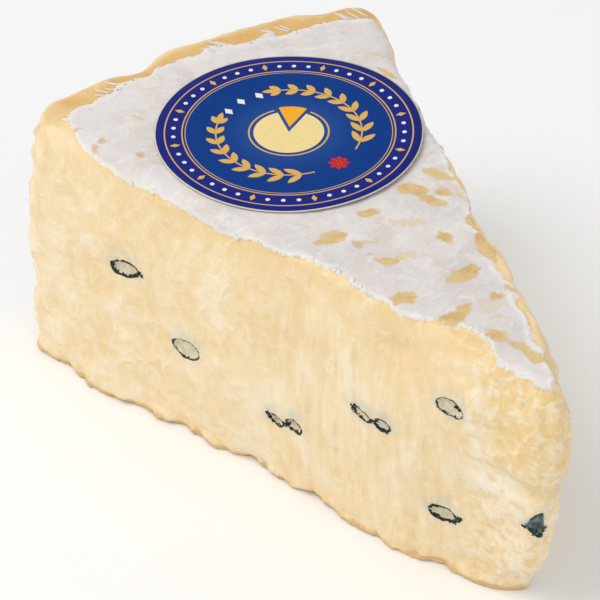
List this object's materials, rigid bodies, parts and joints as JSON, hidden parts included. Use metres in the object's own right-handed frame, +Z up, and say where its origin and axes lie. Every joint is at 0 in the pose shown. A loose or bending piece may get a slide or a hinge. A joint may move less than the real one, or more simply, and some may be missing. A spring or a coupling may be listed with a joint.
{
  "type": "wedge of brie with blue pockets",
  "caption": "Wedge cut from a wheel of soft-ripened cheese, with a white bloomy rind, pale cut faces opened by blue pockets and a round paper label; it stands on its base.",
  "frame": {"origin": "on the base, under the middle of the wedge's box", "axes": "+Z up through the rind, +Y from the tip of the wedge towards the wheel's rim, +X towards the back cut"},
  "size_m": [0.0766, 0.121, 0.053],
  "materials": {
    "cheese": "soft moist paste on the cuts, matte white rind with bare tan patches on top, underside and rim",
    "label": "printed paper with a light gloss, blue fields and thin gold rings"
  },
  "bodies": {
    "root": {"cheese": "cheese", "label": "label"}
  },
  "joints": []
}
